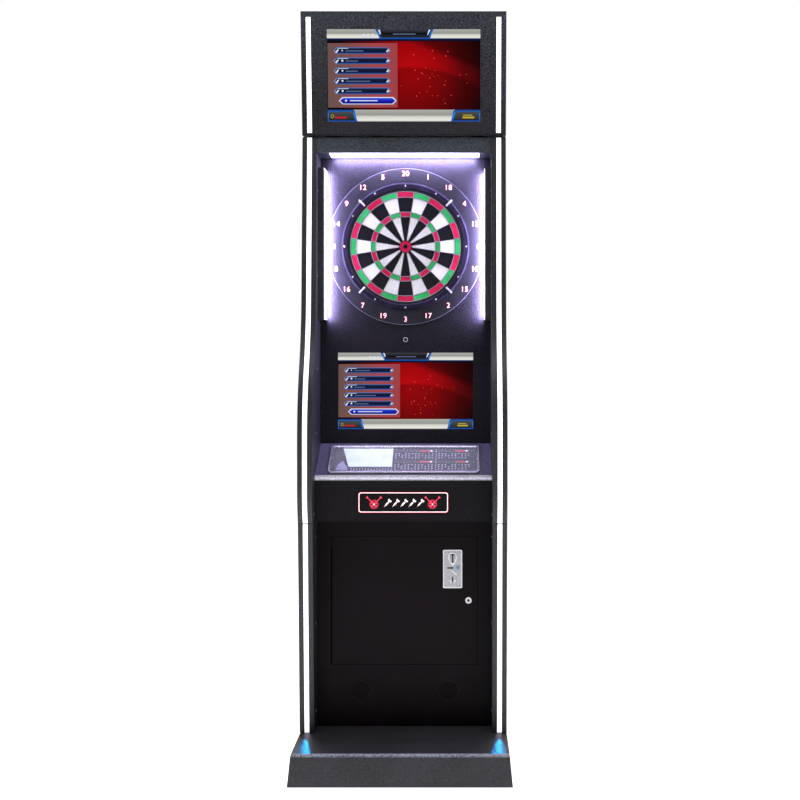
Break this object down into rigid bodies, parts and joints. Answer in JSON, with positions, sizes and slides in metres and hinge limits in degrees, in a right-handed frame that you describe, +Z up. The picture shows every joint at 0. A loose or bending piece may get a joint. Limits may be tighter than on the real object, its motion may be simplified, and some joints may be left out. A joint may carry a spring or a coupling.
{
  "type": "electronic dart machine cabinet",
  "caption": "Free-standing coin-operated electronic dart machine: lit side columns, target board, two monitors, sloped control deck, service door with coin acceptor.",
  "frame": {"origin": "middle of the footprint, on the floor under the feet", "axes": "+Z up, +X to the player's right, +Y from the player towards the back of the cabinet"},
  "size_m": [0.7, 0.706, 2.48],
  "materials": {
    "powder_steel": "crinkle powder coat",
    "panel_black": "fine texture powder coat",
    "deck_steel": "satin powder coat",
    "foot_plastic": "moulded",
    "zinc_steel": "zinc plated",
    "zinc_plate": "satin zinc casting",
    "nickel": "nickel plated",
    "black_plastic": "moulded ABS",
    "button_plastic": "gloss",
    "speaker_black": "paper cone",
    "led_diffuser": "opal, lit",
    "lamp_diffuser": "opal, lit",
    "disc_plastic": "moulded ABS",
    "web_plastic": "moulded",
    "membrane": "printed film",
    "monitor_black": "moulded, glass front",
    "chrome_trim": "plated ring, dark lens",
    "silver_trim": "silver lacquer",
    "clear_cover": "clear acrylic sheet",
    "badge_plastic": "tinted acrylic, lit from behind",
    "segment_red": "moulded, perforated",
    "segment_black": "moulded, perforated",
    "segment_white": "moulded, perforated"
  },
  "bodies": {
    "cabinet": {"base_plinth": "powder_steel", "levelling_feet": "foot_plastic", "lower_sides": "powder_steel", "upper_sides": "powder_steel", "lower_front_panel": "powder_steel", "back_panels": "powder_steel", "door_hinge_pins": "zinc_steel", "cash_box": "zinc_steel", "speakers": "speaker_black", "led_strips": "led_diffuser", "board_panel": "panel_black", "number_ring": "disc_plastic", "catch_ring": "black_plastic", "spider": "web_plastic", "board_tub": "black_plastic", "switch_matrix": "membrane", "lower_monitor": "monitor_black", "upper_monitor": "monitor_black", "player_camera": "chrome_trim", "lamp_housings": "powder_steel", "lamp_diffusers": "lamp_diffuser", "control_panel": "deck_steel", "tray_frame": "silver_trim", "tray_cover": "clear_cover", "badge_lens": "badge_plastic", "hood": "powder_steel", "head_shell": "powder_steel", "head_front": "panel_black", "power_inlet": "black_plastic", "power_supply": "zinc_steel", "game_computer": "zinc_steel"},
    "door": {"service_door": "powder_steel", "coin_faceplate": "zinc_plate", "coin_validator": "black_plastic", "lock_housing": "nickel"},
    "reject_button": {"coin_reject_button": "button_plastic"},
    "return_flap": {"coin_return_flap": "zinc_steel"},
    "lock": {"lock_plug": "nickel"},
    "number_20": {"segments_20": "segment_black"},
    "number_01": {"segments_01": "segment_white"},
    "number_18": {"segments_18": "segment_black"},
    "number_04": {"segments_04": "segment_white"},
    "number_13": {"segments_13": "segment_black"},
    "number_06": {"segments_06": "segment_white"},
    "number_10": {"segments_10": "segment_black"},
    "number_15": {"segments_15": "segment_white"},
    "number_02": {"segments_02": "segment_black"},
    "number_17": {"segments_17": "segment_white"},
    "number_03": {"segments_03": "segment_black"},
    "number_19": {"segments_19": "segment_white"},
    "number_07": {"segments_07": "segment_black"},
    "number_16": {"segments_16": "segment_white"},
    "number_08": {"segments_08": "segment_black"},
    "number_11": {"segments_11": "segment_white"},
    "number_14": {"segments_14": "segment_black"},
    "number_09": {"segments_09": "segment_white"},
    "number_12": {"segments_12": "segment_black"},
    "number_05": {"segments_05": "segment_white"},
    "outer_bull": {"bull_outer": "segment_red"},
    "inner_bull": {"bull_inner": "segment_black"}
  },
  "joints": [
    {"name": "door_swing", "type": "hinge", "parent": "cabinet", "child": "door", "pos_m": [-0.24, -0.036, 0.526], "axis": [0, 0, -1], "range_deg": [0, 100]},
    {"name": "lock_turn", "type": "hinge", "parent": "door", "child": "lock", "pos_m": [0.215, -0.04, 0.526], "axis": [0, -1, 0], "range_deg": [0, 90]},
    {"name": "reject_press", "type": "slide", "parent": "door", "child": "reject_button", "axis": [0, 1, 0], "range_m": [0, 0.003], "stiffness_N_per_m": 300, "springref_m": -0.001},
    {"name": "return_flap_swing", "type": "hinge", "parent": "door", "child": "return_flap", "pos_m": [0.162, -0.04175, 0.607], "axis": [1, 0, 0], "range_deg": [0, 60]},
    {"name": "number_20_press", "type": "slide", "parent": "cabinet", "child": "number_20", "axis": [0, 1, 0], "range_m": [0, 0.0015], "stiffness_N_per_m": 900, "springref_m": -0.0005},
    {"name": "number_01_press", "type": "slide", "parent": "cabinet", "child": "number_01", "axis": [0, 1, 0], "range_m": [0, 0.0015], "stiffness_N_per_m": 900, "springref_m": -0.0005},
    {"name": "number_18_press", "type": "slide", "parent": "cabinet", "child": "number_18", "axis": [0, 1, 0], "range_m": [0, 0.0015], "stiffness_N_per_m": 900, "springref_m": -0.0005},
    {"name": "number_04_press", "type": "slide", "parent": "cabinet", "child": "number_04", "axis": [0, 1, 0], "range_m": [0, 0.0015], "stiffness_N_per_m": 900, "springref_m": -0.0005},
    {"name": "number_13_press", "type": "slide", "parent": "cabinet", "child": "number_13", "axis": [0, 1, 0], "range_m": [0, 0.0015], "stiffness_N_per_m": 900, "springref_m": -0.0005},
    {"name": "number_06_press", "type": "slide", "parent": "cabinet", "child": "number_06", "axis": [0, 1, 0], "range_m": [0, 0.0015], "stiffness_N_per_m": 900, "springref_m": -0.0005},
    {"name": "number_10_press", "type": "slide", "parent": "cabinet", "child": "number_10", "axis": [0, 1, 0], "range_m": [0, 0.0015], "stiffness_N_per_m": 900, "springref_m": -0.0005},
    {"name": "number_15_press", "type": "slide", "parent": "cabinet", "child": "number_15", "axis": [0, 1, 0], "range_m": [0, 0.0015], "stiffness_N_per_m": 900, "springref_m": -0.0005},
    {"name": "number_02_press", "type": "slide", "parent": "cabinet", "child": "number_02", "axis": [0, 1, 0], "range_m": [0, 0.0015], "stiffness_N_per_m": 900, "springref_m": -0.0005},
    {"name": "number_17_press", "type": "slide", "parent": "cabinet", "child": "number_17", "axis": [0, 1, 0], "range_m": [0, 0.0015], "stiffness_N_per_m": 900, "springref_m": -0.0005},
    {"name": "number_03_press", "type": "slide", "parent": "cabinet", "child": "number_03", "axis": [0, 1, 0], "range_m": [0, 0.0015], "stiffness_N_per_m": 900, "springref_m": -0.0005},
    {"name": "number_19_press", "type": "slide", "parent": "cabinet", "child": "number_19", "axis": [0, 1, 0], "range_m": [0, 0.0015], "stiffness_N_per_m": 900, "springref_m": -0.0005},
    {"name": "number_07_press", "type": "slide", "parent": "cabinet", "child": "number_07", "axis": [0, 1, 0], "range_m": [0, 0.0015], "stiffness_N_per_m": 900, "springref_m": -0.0005},
    {"name": "number_16_press", "type": "slide", "parent": "cabinet", "child": "number_16", "axis": [0, 1, 0], "range_m": [0, 0.0015], "stiffness_N_per_m": 900, "springref_m": -0.0005},
    {"name": "number_08_press", "type": "slide", "parent": "cabinet", "child": "number_08", "axis": [0, 1, 0], "range_m": [0, 0.0015], "stiffness_N_per_m": 900, "springref_m": -0.0005},
    {"name": "number_11_press", "type": "slide", "parent": "cabinet", "child": "number_11", "axis": [0, 1, 0], "range_m": [0, 0.0015], "stiffness_N_per_m": 900, "springref_m": -0.0005},
    {"name": "number_14_press", "type": "slide", "parent": "cabinet", "child": "number_14", "axis": [0, 1, 0], "range_m": [0, 0.0015], "stiffness_N_per_m": 900, "springref_m": -0.0005},
    {"name": "number_09_press", "type": "slide", "parent": "cabinet", "child": "number_09", "axis": [0, 1, 0], "range_m": [0, 0.0015], "stiffness_N_per_m": 900, "springref_m": -0.0005},
    {"name": "number_12_press", "type": "slide", "parent": "cabinet", "child": "number_12", "axis": [0, 1, 0], "range_m": [0, 0.0015], "stiffness_N_per_m": 900, "springref_m": -0.0005},
    {"name": "number_05_press", "type": "slide", "parent": "cabinet", "child": "number_05", "axis": [0, 1, 0], "range_m": [0, 0.0015], "stiffness_N_per_m": 900, "springref_m": -0.0005},
    {"name": "outer_bull_press", "type": "slide", "parent": "cabinet", "child": "outer_bull", "axis": [0, 1, 0], "range_m": [0, 0.0015], "stiffness_N_per_m": 900, "springref_m": -0.0005},
    {"name": "inner_bull_press", "type": "slide", "parent": "cabinet", "child": "inner_bull", "axis": [0, 1, 0], "range_m": [0, 0.0015], "stiffness_N_per_m": 900, "springref_m": -0.0005}
  ]
}
